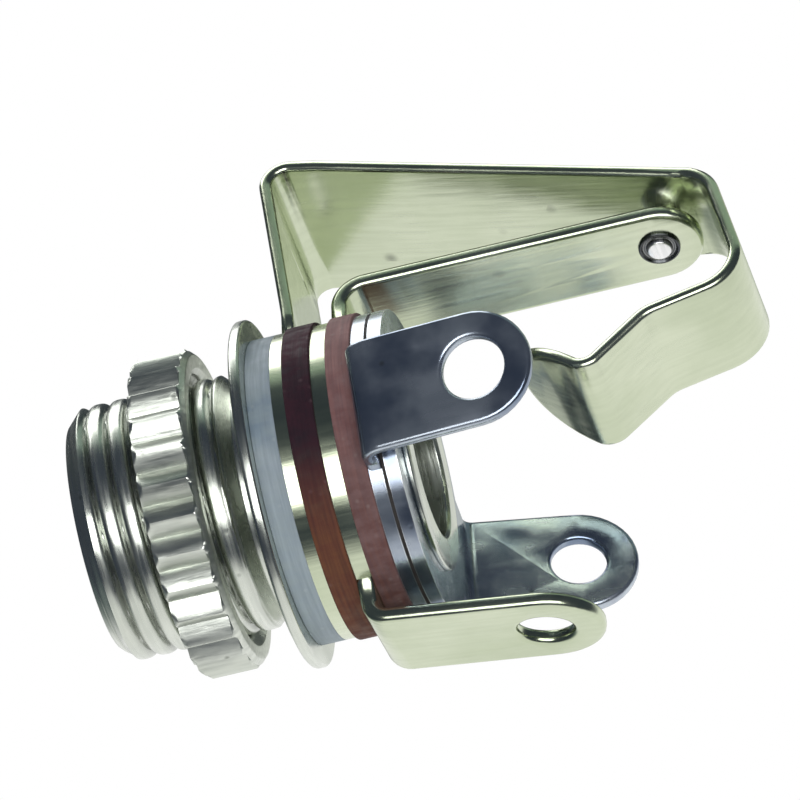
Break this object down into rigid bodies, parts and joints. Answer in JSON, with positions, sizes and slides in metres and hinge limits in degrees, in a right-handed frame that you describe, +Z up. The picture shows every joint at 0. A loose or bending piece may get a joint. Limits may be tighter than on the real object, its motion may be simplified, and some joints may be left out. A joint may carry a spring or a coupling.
{
  "type": "phone jack socket",
  "caption": "Open frame panel socket for a mono phone plug: threaded bushing with knurled nut, insulated washer stack, hooked tip spring, switch blade and solder lugs.",
  "frame": {"origin": "on the bore's axis, at the front face of the flange, where the panel bears", "axes": "+X along the bore from the plug side to the rear; +Z up through the springs; +Y across the springs' width"},
  "size_m": [0.016, 0.0103, 0.0139],
  "materials": {
    "bright_nickel": "bright nickel plate on brass",
    "spring_nickel": "soft satin nickel on spring strip",
    "grey_fibre": "vulcanised fibre, blue-grey, matte",
    "slate_lug": "darkened tin plate, satin",
    "maroon_fibre": "vulcanised fibre, matte",
    "pink_fibre": "vulcanised fibre, matte",
    "dark_film": "thin dark insulating paper, matte",
    "contact_silver": "polished silver"
  },
  "bodies": {
    "socket": {"threaded_bushing": "bright_nickel", "front_insulator": "grey_fibre", "front_fibre_washer": "maroon_fibre", "switch_blade": "spring_nickel", "switch_contact": "contact_silver", "rear_fibre_washer": "pink_fibre", "tip_lug": "slate_lug", "lug_insulator": "dark_film", "sleeve_lug": "slate_lug", "insulating_sleeve": "dark_film", "tip_link_tube": "bright_nickel"},
    "nut": {"knurled_nut": "bright_nickel"},
    "spring": {"tip_spring": "spring_nickel"}
  },
  "joints": [
    {"name": "nut_turn", "type": "hinge", "parent": "socket", "child": "nut", "pos_m": [-0.00184, 0, 0], "axis": [1, 0, 0], "continuous": true},
    {"name": "tip_flex", "type": "hinge", "parent": "socket", "child": "spring", "pos_m": [0.00102, 0, 0.0037], "axis": [0, -1, 0], "range_deg": [0, 11], "stiffness_Nm_per_rad": 0.01, "deforming": ["tip_spring"]}
  ]
}
